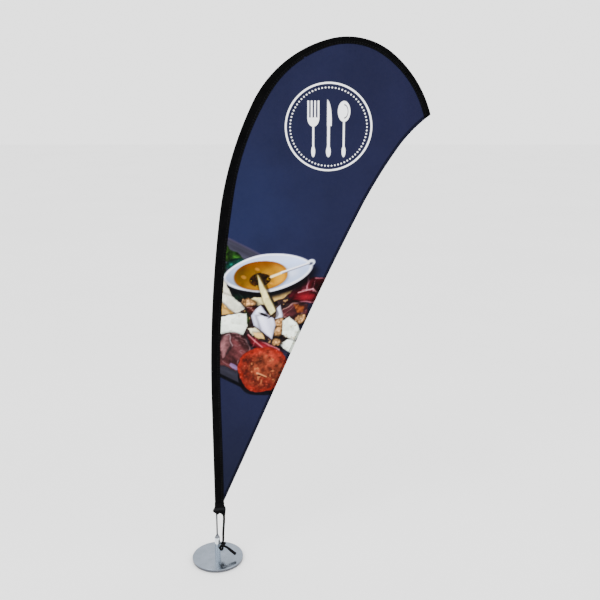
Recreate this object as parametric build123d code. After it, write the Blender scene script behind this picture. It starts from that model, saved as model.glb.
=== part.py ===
from build123d import *
import math
import os

# Desk-top teardrop flag. Millimetres, +Z up, +X towards the flag's free tip.
# The origin is on the post's axis, on the underside of the base pad.

# ---- base ----
PAD_R, PAD_T = 28.5, 0.8
DISC_R, DISC_T = 30.0, 3.6
DISC_EDGE = 0.7
RECESS_R, RECESS_DEPTH = 4.0, 2.3
SWIVEL_HOLE_R = 1.58
WASHER_R, WASHER_T = 3.5, 0.4

# ---- M3 screw that holds the post ----
SCREW_R = 1.5
HEAD_R, HEAD_T = 2.9, 1.7
SLOT_W, SLOT_DEPTH = 0.8, 0.8
THREAD_DEPTH = 6.5

# ---- post ----
POST_R, POST_TOP = 3.3, 31.9
NOSE_R, NOSE_H = 1.6, 3.6
SOCKET_R = 1.05
POLE_SEAT = 12.5

# ---- wire eye on the post ----
EYE_Z, EYE_R, EYE_WIRE_R = 20.0, 1.9, 0.45
EYE_IN, EYE_OUT = 1.9, 3.9

# ---- pole ----
ROD_R = 1.0
FERRULE_R = 1.3
CAP_R = 1.3
STRAIGHT_TOP = 205.0
# The pole above its straight stretch: (radius of the centreline, turn in degrees).
FOOT_BEND = (1502.0, 5.55)
FERRULE_BEND = (1502.0, 0.75)
LONG_BEND = (1502.0, 0.8)
TOP_BENDS = [(378.5, 18.7), (118.5, 49.8), (72.2, 53.0)]
END_BEND = (118.4, 34.6)
CAP_TURN, CAP_SHORT = 3.8, 1.5

# ---- sleeve ----
CHANNEL_R, SLEEVE_R = 1.35, 1.7
BAND_T = 0.9
SEAM_X = 8.3
# The seam beside the pole: a wide band up the pole that narrows over the tight bend.
SEAM_BENDS = [(1330.0, 10.15), (278.0, 22.1), (106.0, 41.7), (64.3, 49.0), (103.9, 40.6), (0, 25.0)]
CUFF_BOTTOM, CUFF_TOP = 59.5, 72.0
CUFF_T, CUFF_R = 1.9, 2.0

# ---- printed panel ----
PANEL_T = 0.35
HEM_W, HEM_T = 3.0, 0.8
# The trailing edge, from the tip down to the foot.
TIP_HEADING = 233.6
TRAILING_BENDS = [(141.0, 18.6), (495.0, 8.9), (3432.0, 2.8)]

# ---- elastic cord ----
CORD_R = 1.3
TAIL_R, TAIL_END_R = 1.4, 1.6
CORD_ROUTE = [(8.6, 0, 59.5), (8.6, 0, 50), (7.2, -1.8, 36), (7.2, -1.8, 24.8)]
TAIL_ROUTE = [(8.2, -2.6, 18.6), (12.4, -3.2, 16.6), (17.4, -5.0, 12.8), (22.0, -6.6, 10.2)]
KNOT_X, KNOT_Y = 6.1, -1.8
KNOT_R, KNOT_BOTTOM, KNOT_TOP = 2.8, 10.6, 24.8

BASE_TOP = PAD_T + DISC_T


def chain(start, heading, steps, shift=0.0):
    """Tangent lines and arcs in the flag's plane, moved `shift` to the right of travel.

    A step is (0, length) for a line or (radius, turn) for an arc of the unshifted
    line; a positive turn is to the right. `heading` is measured from up towards +X.
    """
    angle = math.radians(heading)
    tangent = Vector(math.sin(angle), math.cos(angle))
    point = Vector(*start) + Vector(tangent.Y, -tangent.X) * shift
    edges = []
    for radius, amount in steps:
        if radius:
            side = math.copysign(1, amount)
            edge = JernArc(point, tangent, radius - side * shift, -amount)
        else:
            edge = Line(point, point + tangent * amount)
        edges.append(edge)
        point, tangent = edge @ 1, edge % 1
    return edges


def outline(edges, *corners):
    """A face closed from a chain's last point through the corners to its first."""
    points = [edges[-1] @ 1, *[Vector(*corner) for corner in corners], edges[0] @ 0]
    lines = [Line(a, b) for a, b in zip(points, points[1:])]
    return make_face(Curve() + edges + lines)


def plate(face, thickness):
    """A sheet of the given thickness, centred on the flag's plane."""
    return extrude(Plane.XZ * face, thickness / 2, both=True)


def tube(path, outer, inner=0.0):
    """A round bar or pipe along a path that lies anywhere in space."""
    start = Plane(origin=path @ 0, z_dir=path % 0)
    section = Circle(outer)
    if inner:
        section -= Circle(inner)
    return sweep(start * section, path=path)


def upright(edges):
    """A chain of the flag's plane as one wire in space."""
    return Wire([Plane.XZ * edge for edge in edges])


def bar(radius, bottom, top, x=0.0, y=0.0):
    """A vertical round bar."""
    return Pos(x, y, (bottom + top) / 2) * Cylinder(radius, top - bottom)


def smooth_path(points):
    """Straight runs joined by the largest tangent arcs that they allow."""
    points = [Vector(*point) for point in points]
    radii = []
    for a, b, c in zip(points, points[1:], points[2:]):
        run = min((b - a).length, (c - b).length)
        turn = math.radians((b - a).get_angle(c - b))
        radii.append(0.45 * run / math.tan(turn / 2))
    print("arc radii", [round(radius, 1) for radius in radii])
    return FilletPolyline(*points, radius=radii)


def round_cord(name, route, radius):
    """A plain cord, with its volume held against its section times its length."""
    path = smooth_path(route)
    cord = tube(path, radius)
    ideal = math.pi * radius**2 * path.length
    print(name, "length", round(path.length, 1), "volume ratio", round(cord.volume / ideal, 4))
    return cord


# ---- base parts ----

def base_pad():
    return bar(PAD_R, 0, PAD_T)


def base_disc():
    disc = bar(DISC_R, PAD_T, BASE_TOP)
    disc = fillet(disc.edges(), DISC_EDGE)
    disc -= bar(RECESS_R, PAD_T, PAD_T + RECESS_DEPTH)
    return disc - bar(SWIVEL_HOLE_R, PAD_T, BASE_TOP)


def swivel_washer():
    top = PAD_T + RECESS_DEPTH
    return bar(WASHER_R, top - WASHER_T, top) - bar(SWIVEL_HOLE_R, top - WASHER_T, top)


def post_screw():
    head_top = PAD_T + RECESS_DEPTH - WASHER_T
    head = bar(HEAD_R, head_top - HEAD_T, head_top)
    slot = Pos(0, 0, head_top - HEAD_T + SLOT_DEPTH / 2) * Box(2 * HEAD_R, SLOT_W, SLOT_DEPTH)
    return head - slot + bar(SCREW_R, head_top, BASE_TOP + THREAD_DEPTH)


# ---- post parts ----

def cord_eye():
    legs = [Line((EYE_IN, EYE_Z + EYE_R), (EYE_OUT, EYE_Z + EYE_R))]
    legs.append(JernArc(legs[0] @ 1, legs[0] % 1, EYE_R, -180))
    legs.append(Line(legs[1] @ 1, (EYE_IN, EYE_Z - EYE_R)))
    return tube(upright(legs), EYE_WIRE_R)


def post():
    shoulder = POST_TOP - NOSE_H
    body = bar(POST_R, BASE_TOP, shoulder)
    body += Pos(0, 0, shoulder + NOSE_H / 2) * Cone(POST_R, NOSE_R, NOSE_H)
    body -= bar(SCREW_R, BASE_TOP, BASE_TOP + THREAD_DEPTH)
    body -= bar(SOCKET_R, POLE_SEAT, POST_TOP)
    return body - cord_eye()


def cord_knot():
    knot = bar(KNOT_R, KNOT_BOTTOM, KNOT_TOP, KNOT_X, KNOT_Y)
    return fillet(knot.edges(), KNOT_R - CORD_R)


def cord_tail():
    tail = round_cord("cord_tail", TAIL_ROUTE, TAIL_R)
    return tail + Pos(*TAIL_ROUTE[-1]) * Sphere(TAIL_END_R)


# ---- pole parts ----

# The pole from its seat in the post to its joint, and from there to its top end.
LOWER = [(0, STRAIGHT_TOP - POLE_SEAT), FOOT_BEND, FERRULE_BEND]
UPPER = [FERRULE_BEND, LONG_BEND, *TOP_BENDS, END_BEND]
POLE = chain((0, POLE_SEAT), 0, LOWER + UPPER)
POLE_SPLIT = len(LOWER)


def pole_lower():
    return tube(upright(POLE[:POLE_SPLIT]), ROD_R)


def pole_ferrule():
    return tube(upright(POLE[POLE_SPLIT - 1:POLE_SPLIT + 1]), FERRULE_R, ROD_R)


def end_arc(turn_from, turn_to):
    """A stretch of the pole's last bend, by its turn in degrees from the bend's start."""
    return POLE[-1].trim(turn_from / END_BEND[1], turn_to / END_BEND[1])


ROD_TURN = END_BEND[1] - CAP_SHORT - CAP_TURN / 3
CAP_END = END_BEND[1] - CAP_SHORT
CAP_START = CAP_END - CAP_TURN


def pole_upper():
    return tube(upright([*POLE[POLE_SPLIT:-1], end_arc(0, ROD_TURN)]), ROD_R)


def pole_tip_cap():
    cap = tube(upright([end_arc(CAP_START, CAP_END)]), CAP_R)
    return cap - tube(upright([end_arc(CAP_START, ROD_TURN)]), ROD_R)


# ---- soft parts ----

FOOT_RUN = (0, STRAIGHT_TOP - CUFF_TOP)
SLEEVE_STEPS = [FOOT_RUN, *LOWER[1:], *UPPER]
SLEEVE = chain((0, CUFF_TOP), 0, SLEEVE_STEPS)
EDGE = chain((0, CUFF_TOP), 0, SLEEVE_STEPS, -SLEEVE_R)
SEAM = chain((SEAM_X, CUFF_TOP), 0, [FOOT_RUN, *SEAM_BENDS])


def trailing_edge(shift=0.0):
    """The free edge from the tip down to the seam, or a line beside it."""
    tip = EDGE[-1] @ 1
    steps = [(radius, -turn) for radius, turn in TRAILING_BENDS]
    bends = chain((tip.X, tip.Y), TIP_HEADING, steps, shift)
    start, tangent = bends[-1] @ 1, bends[-1] % 1
    run = (start.X - SEAM_X) / -tangent.X
    return [*bends, Line(start, start + tangent * run)]


def flag_outline():
    """Sleeve band and panel together."""
    return outline(EDGE + trailing_edge(), (SEAM_X, CUFF_TOP))


def beside_seam():
    """Everything on the panel's side of the seam."""
    far = 2 * STRAIGHT_TOP
    return outline(SEAM, (far, (SEAM[-1] @ 1).Y), (far, CUFF_TOP))


def flag_panel():
    face = flag_outline() & beside_seam()
    inner = trailing_edge(HEM_W)
    hem_zone = outline(inner, ((inner[-1] @ 1).X, 0), (2 * STRAIGHT_TOP, 0))
    return plate(face, PANEL_T) + plate(face & hem_zone, HEM_T)


def pole_sleeve():
    """A flat band beside a round way that the pole runs in, closed at the tip."""
    band = plate(flag_outline() - beside_seam(), BAND_T)
    open_path = upright([*SLEEVE[:-1], end_arc(0, CAP_END)])
    return band + tube(open_path, SLEEVE_R) - tube(open_path, CHANNEL_R)


def sleeve_cuff():
    left, right = -CUFF_R, SEAM_X + CUFF_R
    flare = 0.8
    corners = [
        (left, CUFF_TOP),
        (left - flare, CUFF_BOTTOM + 2 * flare),
        (left, CUFF_BOTTOM),
        (right, CUFF_BOTTOM),
        (right, CUFF_TOP - 5 * flare),
        (SEAM_X, CUFF_TOP),
    ]
    body = plate(make_face(Polyline(*corners, close=True)), CUFF_T)
    return body + bar(CUFF_R, CUFF_BOTTOM, CUFF_TOP) - bar(CHANNEL_R, CUFF_BOTTOM, CUFF_TOP)


NODES = {
    "base_pad": base_pad,
    "base_disc": base_disc,
    "swivel_washer": swivel_washer,
    "post_screw": post_screw,
    "post": post,
    "cord_eye": cord_eye,
    "pole_lower": pole_lower,
    "pole_ferrule": pole_ferrule,
    "pole_upper": pole_upper,
    "pole_tip_cap": pole_tip_cap,
    "pole_sleeve": pole_sleeve,
    "sleeve_cuff": sleeve_cuff,
    "flag_panel": flag_panel,
    "tension_cord": lambda: round_cord("tension_cord", CORD_ROUTE, CORD_R),
    "cord_knot": cord_knot,
    "cord_tail": cord_tail,
}

os.makedirs("parts", exist_ok=True)
for name, make in NODES.items():
    export_step(make(), f"parts/{name}.step")
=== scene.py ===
import math

import bpy
import numpy as np
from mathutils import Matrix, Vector
from mathutils.kdtree import KDTree


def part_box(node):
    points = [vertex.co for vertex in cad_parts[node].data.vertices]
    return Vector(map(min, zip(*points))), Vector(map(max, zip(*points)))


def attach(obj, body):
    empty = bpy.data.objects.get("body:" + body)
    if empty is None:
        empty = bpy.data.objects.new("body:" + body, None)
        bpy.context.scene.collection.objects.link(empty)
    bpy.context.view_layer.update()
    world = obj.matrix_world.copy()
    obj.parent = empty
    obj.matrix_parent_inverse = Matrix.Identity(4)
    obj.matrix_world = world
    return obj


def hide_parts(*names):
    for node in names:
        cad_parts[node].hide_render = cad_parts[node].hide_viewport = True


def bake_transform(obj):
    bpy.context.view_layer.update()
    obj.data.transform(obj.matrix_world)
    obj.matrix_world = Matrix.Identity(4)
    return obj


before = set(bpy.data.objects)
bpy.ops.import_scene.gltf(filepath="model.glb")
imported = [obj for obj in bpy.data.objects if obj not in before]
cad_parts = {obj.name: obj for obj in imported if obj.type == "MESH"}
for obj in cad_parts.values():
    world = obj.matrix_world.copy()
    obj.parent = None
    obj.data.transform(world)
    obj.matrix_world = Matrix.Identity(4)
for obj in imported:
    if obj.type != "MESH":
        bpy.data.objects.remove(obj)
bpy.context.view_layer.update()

# A desk-top teardrop flag. Sizes in this script are millimetres unless a name ends in _M;
# meshes are turned into metres where they are made. +X is towards the flag's free tip.

MM = 0.001


def box_mm(node):
    low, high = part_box(node)
    return low / MM, high / MM


# ---- the flag's lines, the same as in the CAD part ----

POLE_STEPS = [(0, 133), (1502, 7.85), (378.5, 18.7), (118.5, 49.8), (72.2, 53.0), (118.4, 34.6)]
SEAM_STEPS = [(0, 133), (1330, 10.15), (278, 22.1), (106, 41.7), (64.3, 49.0), (103.9, 40.6),
              (0, 25)]
TRAILING_STEPS = [(141, -18.6), (495, -8.9), (3432, -2.8), (0, 213)]
TIP_HEADING = 233.6
SLEEVE_R = 1.7
SEAM_X = 8.3
FOOT_Z = box_mm("pole_sleeve")[0].z
DISC_TOP = box_mm("base_disc")[1].z
POST_TOP = box_mm("post")[1].z


class Route:
    """A plane line of straight runs and tangent arcs. A step is (0, length) or (radius, turn);
    a heading is in degrees from up towards +X, and a positive turn goes that way round."""

    SPACING = 0.25

    def __init__(self, start, heading, steps):
        angles = [np.array([math.radians(heading)])]
        gaps = []
        for radius, amount in steps:
            length = radius * math.radians(abs(amount)) if radius else amount
            count = max(2, round(length / self.SPACING))
            turn = math.radians(amount) if radius else 0.0
            angles.append(angles[-1][-1] + turn * np.arange(1, count + 1) / count)
            gaps.append(np.full(count, length / count))
        gaps = np.concatenate(gaps)
        self.h = np.concatenate(angles)
        middle = (self.h[1:] + self.h[:-1]) / 2
        self.s = np.concatenate([[0], np.cumsum(gaps)])
        self.x = start[0] + np.concatenate([[0], np.cumsum(np.sin(middle) * gaps)])
        self.z = start[1] + np.concatenate([[0], np.cumsum(np.cos(middle) * gaps)])
        self.length = self.s[-1]

    def at(self, s, right=0.0):
        """x, z and heading at distances s, moved sideways to the right of travel."""
        s = np.asarray(s, float)
        h = np.interp(s, self.s, self.h)
        past = np.maximum(s - self.length, 0)
        x = np.interp(s, self.s, self.x) + past * np.sin(h) + right * np.cos(h)
        z = np.interp(s, self.s, self.z) + past * np.cos(h) - right * np.sin(h)
        return x, z, h


POLE = Route((0, FOOT_Z), 0, POLE_STEPS)
SEAM = Route((SEAM_X, FOOT_Z), 0, SEAM_STEPS)
TIP = POLE.at(POLE.length, -SLEEVE_R)[:2]
TRAILING = Route(TIP, TIP_HEADING, TRAILING_STEPS)


def nearest_on(route):
    """A function that gives, for points of the plane, the distance to a route and where on it."""
    tree = KDTree(len(route.x))
    for index, (x, z) in enumerate(zip(route.x, route.z)):
        tree.insert((x, 0, z), index)
    tree.balance()

    def find(x, z):
        hits = [tree.find((a, 0, b)) for a, b in zip(x, z)]
        return np.array([hit[2] for hit in hits]), route.s[[hit[1] for hit in hits]]

    return find


near_seam = nearest_on(SEAM)
near_trailing = nearest_on(TRAILING)


def smooth(value, low, high):
    """0 below low, 1 above high, and an even turn between them."""
    t = np.clip((value - low) / (high - low), 0, 1)
    return t * t * (3 - 2 * t)


# ---- how the cloth stands out of its plane ----

# Pitch in millimetres, phase and share of each wave in the gathers.
GATHERS = [(5.3, 0.4, 0.5), (8.1, 2.1, 0.8), (13.7, 4.0, 0.6), (31.0, 1.0, 0.5)]
BELLY, LONG_FOLD, SHORT_FOLD, CURL = 2.6, 0.75, 0.4, 0.9


def pucker(seam_s):
    """Small gathers across the seam, deeper where the pole bends most."""
    bend = smooth(seam_s, 380, 470) * (1 - 0.4 * smooth(seam_s, 640, 700))
    ridges = sum(share * np.sin(2 * math.pi * seam_s / pitch + phase)
                 for pitch, phase, share in GATHERS)
    return ridges * (0.07 + 0.17 * bend)


CREASES = [((10, 402), (44, 430), 0.32), ((34, 418), (62, 424), -0.22),
           ((208, 519), (182, 503), 0.3)]
CREASE_WIDTH = 2.4


def creases(x, z):
    """A few faint folds that the rolled flag has kept."""
    total = np.zeros(len(x))
    for (ax, az), (bx, bz), height in CREASES:
        dx, dz = bx - ax, bz - az
        along = ((x - ax) * dx + (z - az) * dz) / (dx * dx + dz * dz)
        away = ((x - ax) * dz - (z - az) * dx) / math.hypot(dx, dz)
        ends = smooth(along, -0.3, 0.3) * (1 - smooth(along, 0.7, 1.3))
        total += height * ends * np.exp(-(away / CREASE_WIDTH)**2)
    return total


def drape(x, z):
    """The panel's Y: a soft belly, long folds that run up from the foot, and the seam's gathers."""
    from_seam, seam_s = near_seam(x, z)
    from_edge, edge_s = near_trailing(x, z)
    across = from_seam / (from_seam + from_edge + 1e-6)
    width = from_seam + from_edge
    belly = BELLY * np.sin(math.pi * across) * smooth(width, 10, 150)
    angle = np.arctan2(x - SEAM_X, z - FOOT_Z + 8)
    reach = np.hypot(x - SEAM_X, z - FOOT_Z)
    free = smooth(from_seam, 0, 28) * smooth(reach, 20, 240)
    folds = LONG_FOLD * np.sin(angle * 23 + 0.6 + 0.9 * np.sin(z / 71))
    folds = folds + SHORT_FOLD * np.sin(angle * 41 + x / 37 + 1.9)
    curl = CURL * np.sin(edge_s / 47 + 0.8) * (1 - smooth(from_edge, 0, 30)) * smooth(from_seam, 4, 30)
    hollow = creases(x, z) * smooth(from_seam, 0, 8) - belly
    return folds * free + curl + hollow + pucker(seam_s) * (1 - smooth(from_seam, 0, 16))


# ---- the print, painted on the cloth's points ----

def lattice(ix, iz, seed):
    """An even random value from -1 to 1 for each cell of a grid."""
    mix = ix.astype(np.int64) * 374761393 + iz.astype(np.int64) * 668265263 + seed * 974634777
    mix = (mix ^ (mix >> 13)) * 1274126177 & 0xFFFFFFFF
    return ((mix ^ (mix >> 16)) & 0xFFFF) / 32767.5 - 1


def cloud(x, z, grain, seed, octaves=3):
    """Soft random patches about `grain` millimetres across, from about -1 to 1."""
    total = np.zeros(len(x))
    share = 1.0
    for octave in range(octaves):
        u, v = x / grain * 2**octave, z / grain * 2**octave
        iu, iv = np.floor(u), np.floor(v)
        fu, fv = smooth(u - iu, 0, 1), smooth(v - iv, 0, 1)
        corner = [lattice(iu + a, iv + b, seed + octave) for b in (0, 1) for a in (0, 1)]
        low = corner[0] * (1 - fu) + corner[1] * fu
        high = corner[2] * (1 - fu) + corner[3] * fu
        total += share * (low * (1 - fv) + high * fv)
        share /= 2
    return total / 1.4


class Canvas:
    """Colours laid over each other on points of the flag's plane."""

    SOFT_EDGE = 1.1

    def __init__(self, x, z):
        self.x, self.z = x, z
        self.rgb = np.zeros((len(x), 3))

    def lay(self, cover, colour):
        cover = np.clip(cover, 0, 1)[:, None]
        self.rgb = self.rgb * (1 - cover) + np.array(colour) * cover

    def local(self, centre, size, tilt):
        """Coordinates from a shape's centre, in half-sizes, along and across its tilt."""
        turn = math.radians(tilt)
        dx, dz = self.x - centre[0], self.z - centre[1]
        along = (dx * math.cos(turn) + dz * math.sin(turn)) / size[0]
        across = (dz * math.cos(turn) - dx * math.sin(turn)) / size[1]
        return along, across

    def cloud(self, grain, seed, octaves=3, tilt=0, stretch=1):
        """Random patches, drawn out along a direction by `stretch`."""
        u, v = self.local((0, 0), (stretch, 1), tilt)
        return cloud(u, v, grain, seed, octaves)

    def shape(self, centre, size, tilt=0, power=2.0, rough=0.0, grain=5, seed=1):
        """How far each point is covered by a rounded shape, and its place in that shape."""
        u, v = self.local(centre, size, tilt)
        far = (np.abs(u)**power + np.abs(v)**power)**(1 / power)
        if rough:
            far = far + rough * self.cloud(grain, seed)
        soft = self.SOFT_EDGE / min(size)
        return np.clip((1 - far) / soft + 0.5, 0, 1), u, v, far

    def spot(self, centre, size, tilt, colour, strength=1.0, **more):
        """A rounded shape in one colour."""
        self.lay(strength * self.shape(centre, size, tilt, **more)[0], colour)

    def fleck(self, cover, grain, seed, low, high, colour, octaves=2):
        """Scattered patches of a colour inside what `cover` covers."""
        self.lay(cover * smooth(self.cloud(grain, seed, octaves), low, high), colour)

    def block(self, corners, rough=0.8, grain=4, seed=1):
        """How far a straight-sided convex shape covers each point, and how deep inside it
        that is. Its soft shadow is laid first."""
        corners = np.array(corners, float)
        middle = corners.mean(axis=0)
        depth = np.full(len(self.x), np.inf)
        for start, end in zip(corners, np.roll(corners, -1, axis=0)):
            inward = np.array((start[1] - end[1], end[0] - start[0])) / np.linalg.norm(end - start)
            inward = inward if inward @ (middle - start) > 0 else -inward
            reach = (self.x - start[0]) * inward[0] + (self.z - start[1]) * inward[1]
            depth = np.minimum(depth, reach)
        depth = depth + rough * self.cloud(grain, seed)
        self.lay(0.32 * smooth(depth, -3, 0.2), (0.12, 0.08, 0.09))
        return np.clip(depth / self.SOFT_EDGE + 0.5, 0, 1), depth

    def shadow(self, centre, size, tilt=0, power=2.0, depth=0.55, spread=3.0):
        """A soft dark rim that sets a shape off from what lies under it."""
        far = self.shape((centre[0] + 1, centre[1] - 1.6), size, tilt, power)[3]
        wide = spread / min(size)
        self.lay(depth * (1 - smooth(far, 1 - wide / 2, 1 + wide)), (0.05, 0.04, 0.07))

    def stroke(self, start, end, width, colour, taper=0.0, strength=1.0):
        """A straight line from start to end that may thin out towards its end."""
        ax, az = start
        dx, dz = end[0] - ax, end[1] - az
        along = np.clip(((self.x - ax) * dx + (self.z - az) * dz) / (dx * dx + dz * dz), 0, 1)
        away = np.hypot(self.x - ax - along * dx, self.z - az - along * dz)
        half = width / 2 * (1 - taper * along)
        self.lay(strength * np.clip((half - away) / self.SOFT_EDGE + 0.5, 0, 1), colour)


def tint(base, change):
    """One base colour made lighter or darker from point to point."""
    return np.clip(np.array(base)[None, :] * (1 + np.asarray(change)[:, None]), 0, 1)


def ground(c):
    """The cloth's navy with painted light: a lighter, bluer patch half way up, painted shade that makes it
    duller towards the tip, and darker towards the bottom.
    """
    c.rgb[:] = (0.171, 0.18, 0.285)
    # Painted light: a lighter, bluer patch half way up the cloth.
    glow = np.exp(-((c.x - 25) / 80)**2 - ((c.z - 415) / 75)**2)
    c.lay(0.65 * glow, (0.19, 0.219, 0.352))
    # Painted shade: duller and darker towards the tip.
    c.lay(0.45 * smooth(c.x, 120, 230), (0.168, 0.168, 0.27))
    # Darker towards the bottom, below the food.
    c.lay(0.75 * (1 - smooth(c.z, 90, 215)), (0.138, 0.152, 0.228))
    c.rgb *= 1 + 0.03 * c.cloud(40, 3)[:, None]


def board(c):
    """A dull wooden board that lies turned under the food, with its shadow."""
    size, tilt, square = (62, 71.5), -27, 14
    c.spot((26.5, 302), size, tilt, (0.03, 0.03, 0.06), 0.9, power=square)
    cover, _, v, far = c.shape((25, 307), size, tilt, square)
    grain = 0.2 * c.cloud(5, 11, tilt=tilt, stretch=9) + 0.1 * v
    c.lay(cover, tint((0.25, 0.245, 0.295), grain))
    lit_edge = smooth(far, 0.955, 0.99) * (far < 1.01) * (c.z > 330)
    c.lay(0.4 * lit_edge, (0.36, 0.32, 0.42))


def leaf(c, centre, size, tilt, colour, seed):
    """A leaf with a vein along its middle and ribs to both sides."""
    cover, u, v, far = c.shape(centre, size, tilt, rough=0.3, grain=6, seed=seed)
    ribs = np.abs(v) - np.abs(u % 0.5 - 0.25) * 2
    vein = np.exp(-(v / 0.09)**2) + 0.5 * np.exp(-(ribs / 0.12)**2)
    c.lay(cover, tint(colour, 0.45 * c.cloud(4, seed) + 0.3 * vein - 0.4 * far))


def meat(c, corners, colour, fat, seed, tilt=0, amount=0.6, fold=7):
    """A thin slice of cured meat: darker and lighter folds with pale lines of fat."""
    cover, depth = c.block(corners, 1.6, 7, seed)
    folds = c.cloud(fold, seed, 3, tilt, 2.5)
    lines = np.exp(-(c.cloud(9, seed + 3, 3, tilt + 15, 2.5) / 0.07)**2)
    speckle = c.cloud(1.8, seed + 5, 2)
    c.lay(cover, tint(colour, 0.6 * folds + 0.12 * speckle - 0.3 * (1 - smooth(depth, 0, 4))))
    c.lay(cover * amount * lines * smooth(speckle, -0.9, 0.4), fat)
    rim = (1 - smooth(depth, 0.6, 2.2)) * smooth(c.cloud(13, seed + 7, 2), -0.05, 0.3)
    c.lay(cover * 0.8 * rim, fat)


def boat(c):
    """A white china sauce boat seen from above."""
    centre, tilt = (63, 351), 9
    c.shadow((centre[0] - 1, centre[1] - 4), (49, 21), tilt, 1.75, 0.9, 5)
    cover, _, v, far = c.shape(centre, (49, 21), tilt, 1.72)
    c.lay(cover, tint((0.95, 0.96, 1.0), -0.08 * (v < -0.2) * smooth(far, 0.85, 0.99)))
    inner, u, v, _ = c.shape((centre[0], centre[1] + 0.4), (46.3, 18.4), tilt, 1.72)
    c.lay(inner, tint((0.69, 0.745, 0.865), 0.1 * u + 0.09 * np.sin(v * 3 - 0.5)))
    c.lay(inner * 0.5 * np.exp(-((u - 0.55) / 0.2)**2 - ((v + 0.25) / 0.3)**2), (0.95, 0.96, 1.0))
    c.lay(inner * 0.6 * smooth(v, 0.35, 0.9) * smooth(u, -0.6, 0.2), (0.8, 0.82, 0.9))
    c.spot((110, 362.5), (4.2, 3.4), 20, (0.88, 0.9, 0.94))
    c.spot((109.5, 361.2), (2.6, 1.5), 20, (0.35, 0.36, 0.42))


def honey(c):
    """Honey in the boat, with its lights, and a spoon's bowl and handle."""
    c.shadow((55.5, 348.5), (28.5, 15.6), 8, 2.1, 0.3, 2)
    cover, u, v, far = c.shape((55.5, 348), (29, 15.8), 8, 2.1)
    glow = 0.3 * u - 0.2 * v + 0.12 * c.cloud(9, 41)
    c.lay(cover, tint((0.57, 0.42, 0.07), glow))
    c.lay(cover * smooth(v, 0.3, 0.95) * 0.6, (0.5, 0.27, 0.05))
    c.lay(cover * smooth(far, 0.86, 1.0) * 0.5, (0.5, 0.27, 0.06))
    c.lay(cover * 0.6 * np.exp(-((u - 0.72) / 0.2)**2 - ((v + 0.3) / 0.4)**2), (0.85, 0.66, 0.12))
    for centre, size in (((52, 355), (2.6, 1.5)), ((37, 346), (3, 2)), ((66, 340), (3.4, 1.2))):
        c.spot(centre, size, -20, (0.95, 0.7, 0.4), 0.35)
    bowl, u, _, far = c.shape((55.5, 343.5), (12.2, 7.6), 12)
    c.lay(bowl, tint((0.25, 0.15, 0.03), 0.7 * c.cloud(3.2, 42) - 0.2 * far))
    c.fleck(bowl, 3, 43, 0.2, 0.55, (0.66, 0.54, 0.14))
    c.lay(bowl * smooth(far, 0.86, 0.98) * (u > 0.2) * 0.8, (0.85, 0.68, 0.35))
    c.stroke((67, 347), (80, 352), 2.8, (0.92, 0.86, 0.72), 0.2)
    c.stroke((78, 351.5), (107, 361.5), 2.2, (0.94, 0.94, 0.97))
    c.stroke((79, 350.8), (107, 360.6), 1.0, (0.36, 0.36, 0.44), 0.2, 0.8)


def cheese(c, corners, colour, seed, pits=0.3, rough=0.8):
    """A broken piece of cheese, lit from above, with small pits."""
    cover, depth = c.block(corners, rough, 4, seed)
    low, high = min(corner[1] for corner in corners), max(corner[1] for corner in corners)
    facets = 0.04 * np.sign(c.cloud(8, seed + 2, 1)) + 0.05 * c.cloud(3, seed, 2)
    fall = 0.1 * ((c.z - low) / (high - low) - 0.6)
    c.lay(cover, tint(colour, facets + fall - 0.07 * (1 - smooth(depth, 0, 1.6))))
    c.fleck(cover * pits, 2.6, seed + 4, 0.5, 0.75, (0.6, 0.48, 0.27))


def stick(c):
    """A long tapering stick of hard cheese that stands in the honey."""
    c.stroke((54, 346), (70, 305), 10, (0.1, 0.08, 0.06), 0, 0.5)
    corners = [(52.2, 348.6), (54.6, 347), (62, 330), (72.6, 309), (66, 303.5), (59, 317), (54.2, 332)]
    cheese(c, corners, (0.93, 0.89, 0.66), 51, 0.1, 0.3)
    c.stroke((55, 346), (71.5, 310.5), 1.2, (0.8, 0.74, 0.5), 0.2, 0.4)


def petals(c):
    """White onion petals with lilac shading and dark gaps between them."""
    whites = [([(73, 321), (76.5, 317), (79, 301), (69, 299), (66, 305), (72, 311)], 62),
              ([(55, 315), (49, 310), (44, 303), (47, 292), (56, 285), (62, 305)], 63),
              ([(62, 305), (69, 300), (71, 292), (67, 275.5), (55, 286), (50, 303)], 61)]
    shades = [((58.5, 304.3), (5.4, 1.5), -24), ((60.8, 310.5), (3.2, 1.5), -62),
              ((72.3, 316.8), (1.7, 2.0), 30), ((66.5, 302.5), (3.5, 0.8), 35)]
    for corners, seed in whites:
        cover, depth = c.block(corners, 0.5, 8, seed)
        fall = 0.07 * np.sin(c.x / 2.6 + c.z / 7) + 0.08 * smooth(c.z, 284, 304) - 0.06
        c.lay(cover, tint((0.87, 0.87, 0.96), fall - 0.2 * (1 - smooth(depth, 0, 2.2))))
    for shade in shades:
        c.spot(*shade, (0.07, 0.05, 0.06), 0.95, rough=0.2, grain=2, seed=64)


def walnut(c, centre, size, tilt, seed):
    """Half a walnut: pale ridges that darken towards its edge."""
    c.shadow(centre, size, tilt, 2.2, 0.75)
    cover, _, _, far = c.shape(centre, size, tilt, 2.2, 0.24, 3, seed)
    ridges = np.abs(c.cloud(3.4, seed + 1, 2))
    c.lay(cover, tint((0.51, 0.4, 0.28), ridges - 0.5 * smooth(far, 0.4, 1) + 0.05))
    c.fleck(cover, 2.2, seed + 3, 0.5, 0.8, (0.88, 0.76, 0.58))


def onion_tip(c):
    """A bit of lilac onion that shows beside the tomato."""
    c.spot((24.5, 243.5), (5.5, 2.6), -35, (0.62, 0.55, 0.78), 0.6, rough=0.2, grain=3)


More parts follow.
